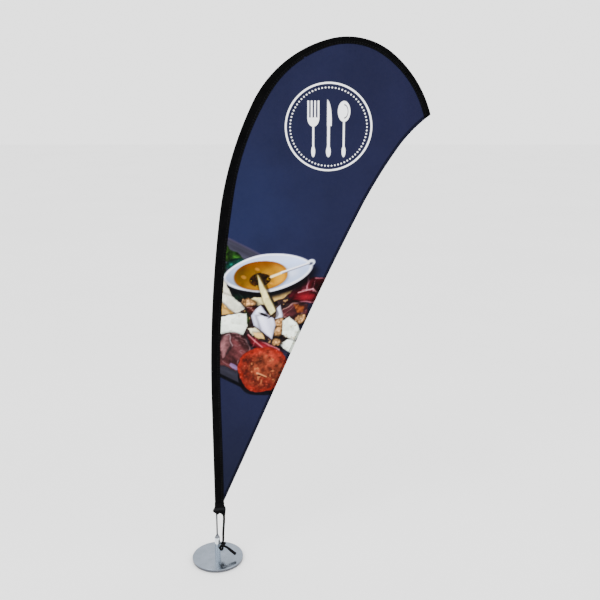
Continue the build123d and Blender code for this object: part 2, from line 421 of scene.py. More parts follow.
def tomato(c):
    """A thick round slice of dried tomato, wet and lumpy, over its own dark shadow."""
    centre, size = (56.8, 240.8), (28.2, 25.8)
    for drop, dark in ((6, 0.8), (3, 0.6)):
        c.spot((centre[0] - 1, centre[1] - drop), (size[0] - 1, size[1]), 0, (0.05, 0.04, 0.07), dark,
               power=2.7)
    cover, _, v, far = c.shape(centre, size, 14, 2.5, 0.09, 10, 71)
    lumps = c.cloud(9, 72, 3)
    c.lay(cover, tint((0.5, 0.21, 0.16), 0.45 * lumps + 0.14 * v + 0.2 * c.cloud(2, 73, 2)))
    core = 1 - smooth(far + 0.3 * c.cloud(7, 74, 2), 0.4, 0.75)
    c.lay(cover * core * 0.7, tint((0.47, 0.27, 0.19), 0.6 * c.cloud(4, 75, 3)))
    rim = smooth(far + 0.08 * c.cloud(5, 78, 2), 0.8, 0.95)
    c.lay(cover * rim * 0.7, tint((0.54, 0.16, 0.11), 0.3 * c.cloud(3, 79, 2)))
    inside = 1 - smooth(far, 0.5, 0.85)
    c.fleck(cover * inside * 0.75, 3.4, 76, 0.36, 0.62, (0.7, 0.47, 0.32))
    c.fleck(cover * 0.4, 2.4, 77, 0.55, 0.78, (0.85, 0.45, 0.35))
    c.stroke((50, 236), (60, 231), 2.2, (0.82, 0.62, 0.45), 0.4, 0.8)
    c.stroke((52, 233.5), (60, 230), 1.2, (0.15, 0.09, 0.06), 0.4, 0.8)


def gaps(c):
    """Dark crumbs and shade in the middle of the board, under everything else."""
    corners = [(14, 300), (36, 322), (80, 328), (100, 312), (92, 262), (62, 262), (40, 278)]
    cover, _ = c.block(corners, 2, 8, 12)
    c.lay(0.8 * cover, tint((0.2, 0.14, 0.14), 0.9 * c.cloud(5, 13)))
    c.fleck(cover, 4, 14, 0.3, 0.5, (0.62, 0.5, 0.36), 3)


FETA, PALE, STRAW = (0.91, 0.94, 0.9), (0.9, 0.88, 0.76), (0.83, 0.71, 0.47)
GREEN, PINK, RIND = (0.08, 0.2, 0.13), (0.7, 0.47, 0.52), (0.85, 0.66, 0.68)
# The still life from the board up: what paints each piece, and what it is given.
STILL_LIFE = [
    (board,),
    (leaf, (18, 372), (7, 10), 20, (0.19, 0.3, 0.12), 21),
    (leaf, (29, 368), (9, 6), -30, (0.17, 0.31, 0.13), 22),
    (leaf, (27, 361), (12, 5), 15, (0.07, 0.29, 0.25), 23),
    (leaf, (14, 356), (5, 12), 0, (0.1, 0.22, 0.16), 24),
    (leaf, (27, 334), (18, 8), -38, GREEN, 25),
    (leaf, (46, 325), (25, 9), -6, GREEN, 26),
    (Canvas.stroke, (22, 338), (36, 323), 1.4, (0.45, 0.6, 0.5), 0.6, 0.7),
    (Canvas.stroke, (33, 334), (46, 322), 1.0, (0.32, 0.5, 0.38), 0.6, 0.7),
    (gaps,),
    (meat, [(80, 330), (103, 350), (106, 351), (108, 330), (88, 319)], (0.3, 0.07, 0.12), PINK, 31, 55, 0.3),
    (meat, [(104, 330), (108, 345), (130, 345), (128, 324), (110, 325)], (0.35, 0.09, 0.13), PINK, 32, 60),
    (meat, [(84, 318), (97, 332), (112, 333), (122, 322), (112, 317)], (0.36, 0.09, 0.13), PINK, 33, 10),
    (Canvas.stroke, (108, 350), (105, 331), 1.3, (0.75, 0.5, 0.55), 0.4, 0.8),
    (Canvas.stroke, (96, 329), (112, 333), 1.2, RIND, 0.4, 0.8),
    (Canvas.stroke, (112, 333), (121, 324), 1.0, RIND, 0.4, 0.7),
    (meat, [(78, 309), (90, 318), (107, 316), (106, 300), (92, 298), (80, 301)],
     (0.36, 0.2, 0.22), (0.66, 0.52, 0.49), 34, 20),
    (meat, [(92, 315), (103, 314), (102, 306), (94, 305)], (0.45, 0.26, 0.15), (0.72, 0.5, 0.3), 35, 30),
    (cheese, [(66, 326), (92, 333), (80, 323), (70, 319)], STRAW, 81, 0.5),
    (boat,),
    (honey,),
    (cheese, [(15, 349), (20, 335), (27, 322), (13, 316)], (0.84, 0.83, 0.76), 87),
    (cheese, [(12, 336), (26, 323), (37, 318), (38, 311), (29, 305), (12, 314)], (0.88, 0.88, 0.82), 82),
    (cheese, [(11, 319), (26, 305), (12, 303)], (0.74, 0.61, 0.36), 83, 0.4),
    (cheese, [(12, 320), (15, 313), (19, 310), (14, 316)], (0.86, 0.7, 0.4), 84, 0.2),
    (cheese, [(44, 322), (57, 325), (59, 316), (50, 314)], (0.9, 0.86, 0.66), 84, 0.2),
    (walnut, (43, 317), (7.6, 5), 0, 85),
    (meat, [(38, 313), (50, 314), (53, 308), (42, 305)], (0.32, 0.13, 0.12), (0.84, 0.76, 0.72), 86),
    (leaf, (40, 299), (2.6, 8), 10, (0.2, 0.3, 0.1), 27),
    (walnut, (75, 295), (6.5, 6.5), 0, 88),
    (walnut, (74, 284.5), (6.5, 5.5), 20, 89),
    (cheese, [(41, 288), (50, 290), (56, 283), (46, 280)], PALE, 90),
    (cheese, [(46, 284), (56, 283), (59, 276), (48, 278)], STRAW, 91, 0.7),
    (petals,),
    (stick,),
    (walnut, (99, 299), (7, 4.5), 30, 92),
    (cheese, [(79, 297), (86, 301.5), (94, 294), (99, 282), (92, 272), (78, 281)], FETA, 93, 0.5),
    (cheese, [(75, 269), (84, 276), (95, 271), (88, 258)], FETA, 94, 0.6),
    (walnut, (71.5, 272.5), (5, 4.5), 0, 95),
    (cheese, [(10, 301), (31, 305), (39.5, 305), (40, 291), (35, 280.5), (10, 282)], FETA, 96, 0.2),
    (meat, [(8, 280), (21, 284), (38, 280), (43, 262), (38, 250), (26, 239), (8, 247)],
     (0.36, 0.215, 0.225), (0.56, 0.45, 0.46), 97, -35, 0.6, 9),
    (meat, [(8, 268), (13, 279), (20, 281), (24, 268), (12, 254)],
     (0.46, 0.33, 0.34), (0.68, 0.58, 0.6), 98, 60, 0.5),
    (meat, [(39, 282), (69, 267), (86, 257), (50, 262), (41, 270)],
     (0.4, 0.11, 0.15), (0.8, 0.52, 0.55), 99, -27, 0.4),
    (Canvas.stroke, (41, 281), (60, 263), 1.5, (0.84, 0.58, 0.6), 0.3, 0.75),
    (onion_tip,),
    (tomato,),
]


# The food's lowest and highest point on the cloth, and a power that darkens the ink.
FOOD_Z = (205.0, 395.0)
FOOD_FADE = 3.0
INK_DEPTH = 1.3


def linear(rgb):
    """Display colour to the linear colour that shaders use."""
    rgb = np.clip(rgb, 0, 1)
    return np.where(rgb <= 0.04045, rgb / 12.92, ((rgb + 0.055) / 1.055)**2.4)


def ink(x, z, shade=1.0):
    """The print's linear colours at points of the plane, all darkened by `shade`, which the hem uses as
    painted shade.
    """
    canvas = Canvas(x, z)
    ground(canvas)
    plain = canvas.rgb.copy()
    for paint, *how in STILL_LIFE:
        paint(canvas, *how)
    low, high = FOOD_Z
    fade = smooth(z, low - FOOD_FADE, low) * (1 - smooth(z, high, high + FOOD_FADE))
    canvas.rgb = plain * (1 - fade[:, None]) + canvas.rgb * fade[:, None]
    return linear(canvas.rgb)**INK_DEPTH * shade


# ---- materials ----

class Field:
    """A number that varies over a surface, built up from shader maths."""

    def __init__(self, tree, socket):
        self.tree, self.socket = tree, socket

    def make(self, operation, *others):
        node = self.tree.nodes.new("ShaderNodeMath")
        node.operation = operation
        for index, value in enumerate((self, *others)):
            if isinstance(value, Field):
                self.tree.links.new(value.socket, node.inputs[index])
            else:
                node.inputs[index].default_value = value
        return Field(self.tree, node.outputs[0])

    def __add__(self, other):
        return self.make("ADD", other)

    def __sub__(self, other):
        return self.make("SUBTRACT", other)

    def __mul__(self, other):
        return self.make("MULTIPLY", other)

    def size(self):
        return self.make("ABSOLUTE")

    def least(self, other):
        return self.make("MINIMUM", other)

    def most(self, other):
        return self.make("MAXIMUM", other)


class Surface:
    """A procedural material in the making: its node tree, coordinates and shader."""

    def __init__(self, name, **settings):
        self.material = bpy.data.materials.new(name)
        self.material.use_nodes = True
        self.tree = self.material.node_tree
        self.tree.nodes.clear()
        self.shader = self.node("BsdfPrincipled", **settings)
        self.link(self.shader.outputs[0], self.node("OutputMaterial").inputs[0])
        self.place = self.node("TexCoord").outputs["Object"]

    def node(self, kind, **values):
        """A new node with the given values on its sockets."""
        node = self.tree.nodes.new("ShaderNode" + kind)
        for socket, value in values.items():
            node.inputs[socket.replace("_", " ")].default_value = value
        return node

    def link(self, source, target):
        self.tree.links.new(getattr(source, "socket", source), getattr(target, "socket", target))

    def to(self, source, socket):
        self.link(source, self.shader.inputs[socket])

    def axis(self, name):
        """One coordinate of a point, in millimetres in the piece's own space."""
        node = self.node("SeparateXYZ")
        self.link(self.place, node.inputs[0])
        return Field(self.tree, node.outputs[name]) * (1 / MM)

    def pattern(self, kind, scale, turn=(0, 0, 0), **values):
        """A texture with `scale` grains in a metre along each axis."""
        mapping = self.node("Mapping", Scale=scale, Rotation=turn)
        self.link(self.place, mapping.inputs["Vector"])
        node = self.node(kind, Scale=1.0, **values)
        self.link(mapping.outputs[0], node.inputs["Vector"])
        return Field(self.tree, node.outputs["Fac"])

    def noise(self, scale, detail=3.0):
        scale = scale if isinstance(scale, tuple) else (scale, scale, scale)
        return self.pattern("TexNoise", scale, Detail=detail, Roughness=0.55)

    def scaled(self, field, low, high, start=0.3, end=0.7):
        """Turns a field's spread from start to end into low to high."""
        node = self.node("MapRange", From_Min=start, From_Max=end, To_Min=low, To_Max=high)
        self.link(field, node.inputs["Value"])
        return Field(self.tree, node.outputs["Result"])

    def mix(self, fade, first, second, blend="MIX"):
        node = self.node("Mix")
        node.data_type = "RGBA"
        node.blend_type = blend
        for socket, value in ((node.inputs[0], fade), (node.inputs[6], first), (node.inputs[7], second)):
            if isinstance(value, (int, float)):
                socket.default_value = value
            elif isinstance(value, tuple):
                socket.default_value = (*value, 1.0)
            else:
                self.link(value, socket)
        return node.outputs[2]

    def ink(self):
        node = self.node("Attribute")
        node.attribute_name = "ink"
        return node.outputs["Color"]

    def bump(self, height, depth_mm, strength=1.0):
        node = self.node("Bump", Strength=strength, Distance=depth_mm * MM)
        self.link(height, node.inputs["Height"])
        self.to(node.outputs[0], "Normal")

    def rough(self, grain, low, high):
        """Roughness that varies from low to high in patches."""
        self.to(self.scaled(self.noise(grain, 2.0), low, high), "Roughness")


# The mark is drawn in millimetres round its middle, and MARK_SOFT is its edges' softness.
EMBLEM_CENTRE = (127.2, 504.8)
EMBLEM_WHITE = (0.93, 0.94, 0.96)
RING_RADIUS, RING_WIDTH = 43.9, 1.7
BEADS, BEAD_RING, BEAD_R = 72, 39.4, 0.75
CUTLERY_SIZE = 1.12
HANDLE_END = -25.0
FORK_X, SPOON_X = -14.0, 14.0
TINE_PITCH = 3.1
MARK_SOFT = 0.22


# The shapes below are distances: below zero inside a shape and above zero outside it.

def bar_shape(x, z, centre, half):
    return ((x - centre[0]).size() - half[0]).most((z - centre[1]).size() - half[1])


def outlined(field, radius, width):
    """A line of some width that follows a shape at a distance."""
    return (field - radius).size() - width / 2


def oval(x, z, centre, half):
    dx, dz = (x - centre[0]) * (1 / half[0]), (z - centre[1]) * (1 / half[1])
    return ((dx * dx + dz * dz).make("SQRT") - 1.0) * min(half)


def handle(x, z, middle, top, half):
    """A cutlery handle: a slim bar with a round end."""
    grip = bar_shape(x, z, (middle, (top + HANDLE_END) / 2), (half, (top - HANDLE_END) / 2))
    return grip.least(oval(x, z, (middle, HANDLE_END + 3.0), (half + 0.9, 5.0)))


def fork(x, z):
    head = oval(x, z, (FORK_X, 8.5), (5.4, 8.0)).most(z - 8.5)
    away = (x - FORK_X).size()
    tine = away.make("PINGPONG", TINE_PITCH / 2)
    tines = (tine * -1.0 + 0.8).most(away - 5.4).most((z - 15.5).size() - 8.0)
    return head.least(tines).least(handle(x, z, FORK_X, 4.0, 0.8))


def knife(x, z):
    blade = oval(x, z, (-1.6, 5.0), (4.4, 19.0)).most(x * -1.0 - 1.4).most((z - 1.0) * -1.0)
    return blade.least(handle(x, z, 0.0, 2.0, 1.2))


def spoon(x, z):
    bowl = oval(x, z, (SPOON_X, 14.0), (5.6, 9.2))
    hollow = outlined(bowl, -2.0, 0.7).most(x * -1.0 + SPOON_X)
    return bowl.most(hollow * -1.0).least(handle(x, z, SPOON_X, 6.0, 0.8))


def beads(x, z, radius):
    """A ring of small round beads."""
    angle = z.make("ARCTAN2", x) * BEAD_RING
    step = math.pi * BEAD_RING / BEADS
    around = angle.make("PINGPONG", step)
    away = radius - BEAD_RING
    return (around * around + away * away).make("SQRT") - BEAD_R


def emblem(s):
    """A plain dining-room mark: fork, knife and spoon in a ring of beads."""
    x, z = s.axis("X") - EMBLEM_CENTRE[0], s.axis("Z") - EMBLEM_CENTRE[1]
    radius = (x * x + z * z).make("SQRT")
    marks = outlined(radius, RING_RADIUS, RING_WIDTH).least(beads(x, z, radius))
    for piece in (fork, knife, spoon):
        marks = marks.least(piece(x * (1 / CUTLERY_SIZE), z * (1 / CUTLERY_SIZE)))
    return s.scaled(marks, 1.0, 0.0, -MARK_SOFT, MARK_SOFT)


def woven(s, pitch_mm, depth_mm):
    """A cloth's weave: threads both ways, raised where they cross, and their hairs."""
    grain = 1 / (3 * pitch_mm * MM)
    ribs = s.pattern("TexWave", (grain, 0.0, 0.0))
    cross = s.pattern("TexWave", (0.0, 0.0, grain), (0.0, math.pi / 2, 0.0))
    fuzz = s.noise(2600.0, 2.0)
    threads = ribs * 0.5 + cross * 0.5
    s.bump(threads * 0.8 + fuzz * 0.5, depth_mm)
    return threads * 0.6 + fuzz * 0.4


def panel_cloth():
    s = Surface("printed_cloth", Specular_IOR_Level=0.05, Sheen_Weight=0.005, Sheen_Roughness=0.45)
    threads = woven(s, 0.45, 0.07)
    tone = s.scaled(s.noise(28.0, 3.0), 0.93, 1.07)
    shade = s.scaled(threads, 0.84, 1.16)
    colour = s.mix(emblem(s), s.ink(), EMBLEM_WHITE)
    grey = s.node("CombineColor")
    for channel in range(3):
        s.link(tone * shade, grey.inputs[channel])
    s.to(s.mix(1.0, colour, grey.outputs[0], "MULTIPLY"), "Base Color")
    s.rough(260.0, 0.62, 0.8)
    return s.material


def sleeve_cloth():
    s = Surface("sleeve_cloth", Specular_IOR_Level=0.02, Sheen_Weight=0.0015, Sheen_Roughness=0.4)
    threads = woven(s, 0.5, 0.07)
    worn = s.scaled(s.noise(60.0, 3.0), 0.3, 0.8) * s.scaled(threads, 0.0, 1.3)
    s.to(s.mix(worn, (0.0003, 0.0003, 0.0004), (0.003, 0.003, 0.0034)), "Base Color")
    s.rough(300.0, 0.6, 0.82)
    return s.material


def inked_cloth(name):
    s = Surface(name, Specular_IOR_Level=0.03, Sheen_Weight=0.0015, Sheen_Roughness=0.4)
    threads = woven(s, 0.5, 0.08)
    s.to(s.mix(s.scaled(threads, 0.0, 0.3), s.ink(), (0.002, 0.002, 0.002)), "Base Color")
    s.rough(300.0, 0.62, 0.82)
    return s.material


def metal(name, colour, tarnish, rough, grain, band=None):
    """A metal with faint tarnish, uneven polish and fine marks. A band is a darker colour, painted shade on
    the disc's side and a painted dark reflection on the post's cone, and the two heights between which the
    metal turns to it."""
    s = Surface(name, Metallic=1.0)
    marks = s.noise(grain, 2.0)
    base = s.mix(s.scaled(s.noise(90.0, 4.0), 0.0, 0.8), colour, tarnish)
    if band:
        # Painted shade: the band's darker colour laid over the metal's own colour.
        base = s.mix(s.scaled(s.axis("Z"), 0.0, 1.0, *band[1:]), base, band[0])
    s.to(base, "Base Color")
    s.to(s.scaled(marks, *rough), "Roughness")
    s.bump(marks, 0.004, 0.35)
    return s.material


def plastic(name, colour, worn, rough, grain=420.0, bump_mm=0.03, shine=0.5):
    s = Surface(name, Specular_IOR_Level=shine)
    s.to(s.mix(s.scaled(s.noise(120.0, 4.0), 0.0, 0.8), colour, worn), "Base Color")
    s.rough(500.0, *rough)
    s.bump(s.noise(grain, 3.0), bump_mm)
    return s.material


def braided(name, colour, light):
    """An elastic cord's sleeve: the braid is in the mesh, the yarn's hairs are here."""
    s = Surface(name, Specular_IOR_Level=0.04, Sheen_Weight=0.001, Sheen_Roughness=0.4)
    yarn = s.noise((3000.0, 3000.0, 900.0), 2.0)
    s.to(s.mix(s.scaled(yarn, 0.0, 1.0), colour, light), "Base Color")
    s.to(s.scaled(s.noise(900.0), 0.5, 0.8), "Roughness")
    s.bump(yarn, 0.06)
    return s.material


PANEL_CLOTH = panel_cloth()
SLEEVE_CLOTH = sleeve_cloth()
THREAD = plastic("black_thread", (0.003, 0.003, 0.0034), (0.007, 0.007, 0.0076), (0.5, 0.65),
                 1500.0, 0.03, 0.12)
CUFF_CLOTH = inked_cloth("cuff_cloth")
HEM_CLOTH = inked_cloth("hem_cloth")
CORD_BRAID = braided("elastic_braid", (0.0012, 0.0012, 0.0013), (0.005, 0.005, 0.0055))

# Painted shade: the disc's side, below its top edge, is darker than its top.
DISC_SIDE_PAINTED_SHADE = ((0.095, 0.1, 0.115), DISC_TOP - 0.5, DISC_TOP - 1.1)
# Painted dark reflection: the post's cone at its top is darker.
POST_CONE_PAINTED_REFLECTION = ((0.14, 0.15, 0.17), POST_TOP - 3.6, POST_TOP - 3.0)
CAD_SURFACES = {
    "base_disc": metal("mirror_disc", (0.205, 0.238, 0.288), (0.155, 0.18, 0.215),
                       (0.17, 0.25), 160.0, DISC_SIDE_PAINTED_SHADE),
    "post": metal("mirror_post", (0.72, 0.78, 0.83), (0.56, 0.61, 0.66),
                  (0.08, 0.15), (300.0, 300.0, 60.0), POST_CONE_PAINTED_REFLECTION),
    "post_screw": metal("screw_steel", (0.5, 0.5, 0.5), (0.35, 0.35, 0.36), (0.25, 0.45), 900.0),
    "cord_eye": metal("eye_wire", (0.3, 0.31, 0.33), (0.2, 0.2, 0.21), (0.2, 0.35), 900.0),
    "pole_lower": metal("pole_steel", (0.065, 0.068, 0.076), (0.04, 0.042, 0.048),
                        (0.25, 0.4), (900.0, 900.0, 40.0)),
    "pole_upper": metal("pole_steel_upper", (0.5, 0.51, 0.53), (0.36, 0.37, 0.4), (0.2, 0.34), 700.0),
    "pole_ferrule": metal("ferrule_brass", (0.72, 0.55, 0.25), (0.5, 0.36, 0.16), (0.2, 0.4), 700.0),
    "pole_tip_cap": plastic("cap_rubber", (0.012, 0.012, 0.012), (0.03, 0.03, 0.03), (0.55, 0.75)),
    "swivel_washer": plastic("white_nylon", (0.78, 0.78, 0.76), (0.62, 0.62, 0.6), (0.35, 0.5)),
    "base_pad": plastic("foam_pad", (0.015, 0.015, 0.016), (0.035, 0.035, 0.037), (0.75, 0.9),
                        700.0, 0.12),
}


def dress_cad():
    for node, material in CAD_SURFACES.items():
        for place in bpy.data.objects[node].material_slots:
            place.material = material


# ---- meshes ----

def mesh_piece(name, points, faces, material, uv=None, ink_rgb=None):
    """A smooth mesh from points in millimetres, with UVs in metres of cloth and painted ink."""
    mesh = bpy.data.meshes.new(name)
    mesh.from_pydata((np.asarray(points) * MM).tolist(), [], [list(map(int, face)) for face in faces])
    mesh.polygons.foreach_set("use_smooth", np.ones(len(mesh.polygons), dtype=bool))
    if uv is not None:
        corners = np.zeros(len(mesh.loops), dtype=np.int32)
        mesh.loops.foreach_get("vertex_index", corners)
        layer = mesh.uv_layers.new(name="UVMap")
        layer.data.foreach_set("uv", (np.asarray(uv)[corners] * MM).astype(np.float32).ravel())
    if ink_rgb is not None:
        layer = mesh.color_attributes.new("ink", "FLOAT_COLOR", "POINT")
        full = np.ones((len(points), 4), dtype=np.float32)
        full[:, :3] = ink_rgb
        layer.data.foreach_set("color", full.ravel())
    mesh.materials.append(material)
    mesh.update()
    piece = bpy.data.objects.new(name, mesh)
    bpy.context.scene.collection.objects.link(piece)
    return piece


def grid_faces(rows, columns, start=0, wrap=False, flip=False):
    """Quads between the points of a grid that is stored row by row."""
    row = np.arange(rows - 1)[:, None] * columns
    column = np.arange(columns if wrap else columns - 1)[None, :]
    after = (column + 1) % columns
    corners = [row + column, row + after, row + columns + after, row + columns + column]
    quads = np.stack(corners, axis=-1).reshape(-1, 4) + start
    return quads[:, ::-1].tolist() if flip else quads.tolist()


def rim_faces(near, far, flip=False):
    """Quads between two lines of points."""
    quads = np.stack([near[:-1], far[:-1], far[1:], near[1:]], axis=1)
    return (quads[:, ::-1] if flip else quads).tolist()


# ---- the printed panel ----

PANEL_T = 0.35
TUCK = 1.0
NOWHERE = 1e6
FRONT_COLUMNS, BACK_COLUMNS = 161, 54
BACK_INK, BACK_PALE = 0.85, 0.012


def panel_ends(z):
    """The panel's left and right ends at each height; the seam's side runs on under the sleeve."""
    x_line, z_line, _ = SEAM.at(np.linspace(0, SEAM.length, 2400), -TUCK)
    top = int(np.argmax(z_line))
    left = np.interp(z, z_line[:top + 1], x_line[:top + 1])
    right = np.interp(z, z_line[top:][::-1], x_line[top:][::-1], left=NOWHERE)
    free = np.interp(z, TRAILING.z[::-1], TRAILING.x[::-1], right=NOWHERE)
    return left, np.minimum(right, free), z_line[top]


def row_heights():
    """The heights of the panel's rows of points, closer together where there is food."""
    top = panel_ends(np.array([100.0]))[2]
    low = np.interp(SEAM_X - TUCK, TRAILING.x[::-1], TRAILING.z[::-1]) + 0.5
    spans = [(low, FOOD_Z[0], 2.5), (*FOOD_Z, 0.7), (FOOD_Z[1], top - 12, 2.5),
             (top - 12, top - 0.2, 0.6)]
    rows = [np.arange(start, end, step) for start, end, step in spans]
    return np.concatenate([*rows, [top - 0.15]])


def make_panel():
    z = row_heights()
    left, right, _ = panel_ends(z)
    layers, faces, inks = [], [], []
    start = 0
    for columns, side in ((FRONT_COLUMNS, -1), (BACK_COLUMNS, 1)):
        x = left[:, None] + (right - left)[:, None] * np.linspace(0, 1, columns)[None, :]
        flat_x, flat_z = x.ravel(), np.repeat(z, columns)
        y = drape(flat_x, flat_z) + side * PANEL_T / 2
        layers.append(np.stack([flat_x, y, flat_z], axis=1))
        colour = ink(flat_x, flat_z)
        inks.append(colour if side < 0 else BACK_INK * colour + BACK_PALE)
        faces += grid_faces(len(z), columns, start, flip=side > 0)
        start += len(flat_x)
    ends = [np.arange(len(z)) * FRONT_COLUMNS, np.arange(len(z)) * BACK_COLUMNS + len(layers[0])]
    faces += rim_faces(ends[0], ends[1], flip=True)
    faces += rim_faces(ends[0] + FRONT_COLUMNS - 1, ends[1] + BACK_COLUMNS - 1)
    for row, turned in ((0, False), (len(z) - 1, True)):
        near = (ends[0][row] + np.arange(FRONT_COLUMNS)).tolist()
        far = (ends[1][row] + np.arange(BACK_COLUMNS)).tolist()
        rim = far + near[::-1]
        faces.append(rim[::-1] if turned else rim)
    points = np.concatenate(layers)
    uv = points[:, [0, 2]]
    return mesh_piece("printed_panel", points, faces, PANEL_CLOTH, uv, np.concatenate(inks))


# ---- the sleeve round the pole ----

SLEEVE_T = 0.35
SLEEVE_STEP = 1.0
FLAP_Y = PANEL_T / 2 + 0.02 + SLEEVE_T / 2
ROUND_R = SLEEVE_R - SLEEVE_T / 2
ROUND_OFF = 4.2
END_SHEAR = math.tan(POLE.h[-1] - math.radians(TIP_HEADING - 90))
SHEAR_RUN = 16.0
SEWN_FLAT, SEWN_SQUEEZE = 2.6, 0.62
FOOT_FLARE = 0.8


def sleeve_width(s):
    """Distance from the pole's middle to the flap's edge, and where on the seam that is."""
    x, z, _ = POLE.at(s)
    width, seam_s = near_seam(x, z)
    return width + FOOT_FLARE * (1 - smooth(np.asarray(s), 40, 190)), seam_s


def sleeve_half(across):
    """The middle of the cloth: half the thickness of the sleeve at distances from the pole."""
    away = np.maximum(across, 0)
    flat = FLAP_Y + (ROUND_R - FLAP_Y) * (1 - smooth(away, 0.6, ROUND_OFF))
    dome = np.sqrt(np.maximum(ROUND_R**2 - across**2, 0))
    side = np.minimum(flat, np.where(across < 0.6, dome, flat))
    return np.where(across < 0, dome, side)


def end_squeeze(s):
    """The sleeve is sewn flat over its last few millimetres."""
    return 1 - SEWN_SQUEEZE * smooth(s, POLE.length - SEWN_FLAT, POLE.length)


def wrinkle(s, across, side):
    """Creases across the sleeve, deeper on the tight bend."""
    bend = smooth(s, 330, 420) * (1 - 0.5 * smooth(s, 640, 690))
    pattern = np.sin(s / 1.9 + 1.4 * np.sin(s / 13) + across / 3) * np.sin(s / 7.3 + side)
    return (0.05 + 0.16 * bend) * pattern * smooth(across, -0.5, 2.5)


def sleeve_point(s, across, side, lift):
    """A point of the sleeve: `side` is -1 for the front flap, `lift` is off the cloth's middle."""
    width, seam_s = sleeve_width(s)
    across = np.minimum(across, width)
    near_end = smooth(s, POLE.length - SHEAR_RUN, POLE.length)
    run = s + near_end * END_SHEAR * (across + SLEEVE_R)
    x, z, _ = POLE.at(run, across)
    half = np.maximum(sleeve_half(across) * end_squeeze(s), FLAP_Y)
    follow = pucker(seam_s) * smooth(across, 1.0, width)
    crease = wrinkle(s, across, side) * smooth(across, 0.2, 2.5) * (1 - smooth(across, width - 2, width))
    y = side * (half + lift) + follow + crease
    return x, y, z


def sleeve_ring(s):
    """Where a cut across the sleeve has its points: distances along a flap, from its edge to
    the pole's middle, and angles round the pole's far side."""
    width = float(sleeve_width([s])[0][0])
    flap = np.concatenate([np.linspace(width, ROUND_OFF, 6)[:-1], np.linspace(ROUND_OFF, 0, 7)])
    turn = np.radians(np.linspace(90, 180, 7)[1:-1])
    return flap, turn


def sleeve_rows(s):
    """The points of one cut across the sleeve, round its outside and back round its inside."""
    flap, turn = sleeve_ring(s)
    rows = []
    for lift in (SLEEVE_T / 2, -SLEEVE_T / 2):
        radius = ROUND_R + lift
        bow = radius * np.cos(turn)
        loop = []
        for side in (-1, 1):
            x, y, z = sleeve_point(np.full(len(flap), s), flap, side, lift)
            height = np.abs(np.sin(turn)) * radius * side
            bow_x, _, bow_z = sleeve_point(np.full(len(turn), s), bow, side, 0)
            y = np.append(y, height * end_squeeze(s))
            part = np.stack([np.append(x, bow_x), y, np.append(z, bow_z)], axis=1)
            loop.append(part if side < 0 else part[::-1])
        edge = sleeve_point(np.array([s]), np.array([-radius]), 1, 0)
        fold = np.array([[edge[0][0], 0.0, edge[2][0]]])
        whole = np.concatenate([loop[0], fold, loop[1]])
        rows.append(whole if lift > 0 else whole[::-1])
    return np.concatenate(rows)


def make_sleeve():
    stations = np.append(np.arange(0, POLE.length, SLEEVE_STEP), POLE.length)
    rings = [sleeve_rows(s) for s in stations]
    columns = len(rings[0])
    faces = grid_faces(len(stations), columns, wrap=True)
    half = columns // 2
    for row, turned in ((0, False), (len(stations) - 1, True)):
        outer = row * columns + np.arange(half)
        inner = row * columns + columns - 1 - np.arange(half)
        faces += rim_faces(outer, inner, turned)
    points = np.concatenate(rings)
    around = np.tile(np.concatenate([np.arange(half), np.arange(half)[::-1]]) * 0.9, len(stations))
    uv = np.stack([around, np.repeat(stations, columns)], axis=1)
    return mesh_piece("pole_sleeve_cloth", points, faces, SLEEVE_CLOTH, uv)


# ---- hem and stitches ----

HEM_W, HEM_T = 3.0, 0.84
# The hem's ink is darkened to this share: painted shade on the folded edge.
HEM_PAINTED_SHADE = 0.55
# The hem begins under the sleeve's corner, and its stitches begin beyond that corner.
HEM_START, HEM_STEP = 5.0, 1.2
FIRST_STITCH = 7.5


def hem_section():
    """Points round the folded hem: distance in from the flag's edge, and height off its middle."""
    half = HEM_T / 2
    face = [(HEM_W, 1.0), (2.2, 1.0), (1.4, 1.0), (0.7, 1.0), (0.28, 0.86), (0.06, 0.5)]
    front = [(across, -up * half) for across, up in face]
    back = [(across, up * half) for across, up in face[::-1]]
    return np.array(front + [(0.0, 0.0)] + back)


def make_hem():
    stations = np.arange(HEM_START, TRAILING.length - 2, HEM_STEP)
    section = hem_section()
    columns = len(section)
    s = np.repeat(stations, columns)
    across = np.tile(section[:, 0], len(stations))
    up = np.tile(section[:, 1], len(stations))
    x, z, _ = TRAILING.at(s, across + 0.05)
    ripple = 0.05 * np.sin(s / 1.7) * smooth(across, 0.2, 1.5)
    points = np.stack([x, drape(x, z) + up + ripple, z], axis=1)
    uv = np.stack([across + (up > 0) * 4, s], axis=1)
    faces = tube_faces(len(stations), columns)
    # The hem's ink is darkened as painted shade.
    return mesh_piece("edge_hem", points, faces, HEM_CLOTH, uv, ink(x, z, HEM_PAINTED_SHADE))


STITCH_R, STITCH_SIDES = 0.17, 6
STITCH_LENGTH, STITCH_PITCH = 2.0, 2.9
STITCH_LIFT = STITCH_R * 0.4
# Rings of a stitch: share of its length, share of its thickness, and dip in radii.
STITCH_RINGS = [(0, 0.35, 1.0), (0.12, 0.85, 0.35), (0.5, 1.0, 0.0), (0.88, 0.85, 0.35), (1, 0.35, 1.0)]


def stitch(start, end, out):
    """A short thread from start to end that dips into the cloth at both ends."""
    side = np.cross((end - start) / np.linalg.norm(end - start), out)
    points = []
    for share, size, dip in STITCH_RINGS:
        middle = start + (end - start) * share - out * dip * STITCH_R
        for angle in np.linspace(0, 2 * math.pi, STITCH_SIDES, endpoint=False):
            spoke = math.cos(angle) * side + math.sin(angle) * out
            points.append(middle + STITCH_R * size * spoke)
    return points


def tube_faces(rings, sides):
    """The faces of a tube that is closed at both ends."""
    last = (rings - 1) * sides
    ends = [list(range(sides)), list(range(last, last + sides))[::-1]]
    return grid_faces(rings, sides, wrap=True, flip=True) + ends


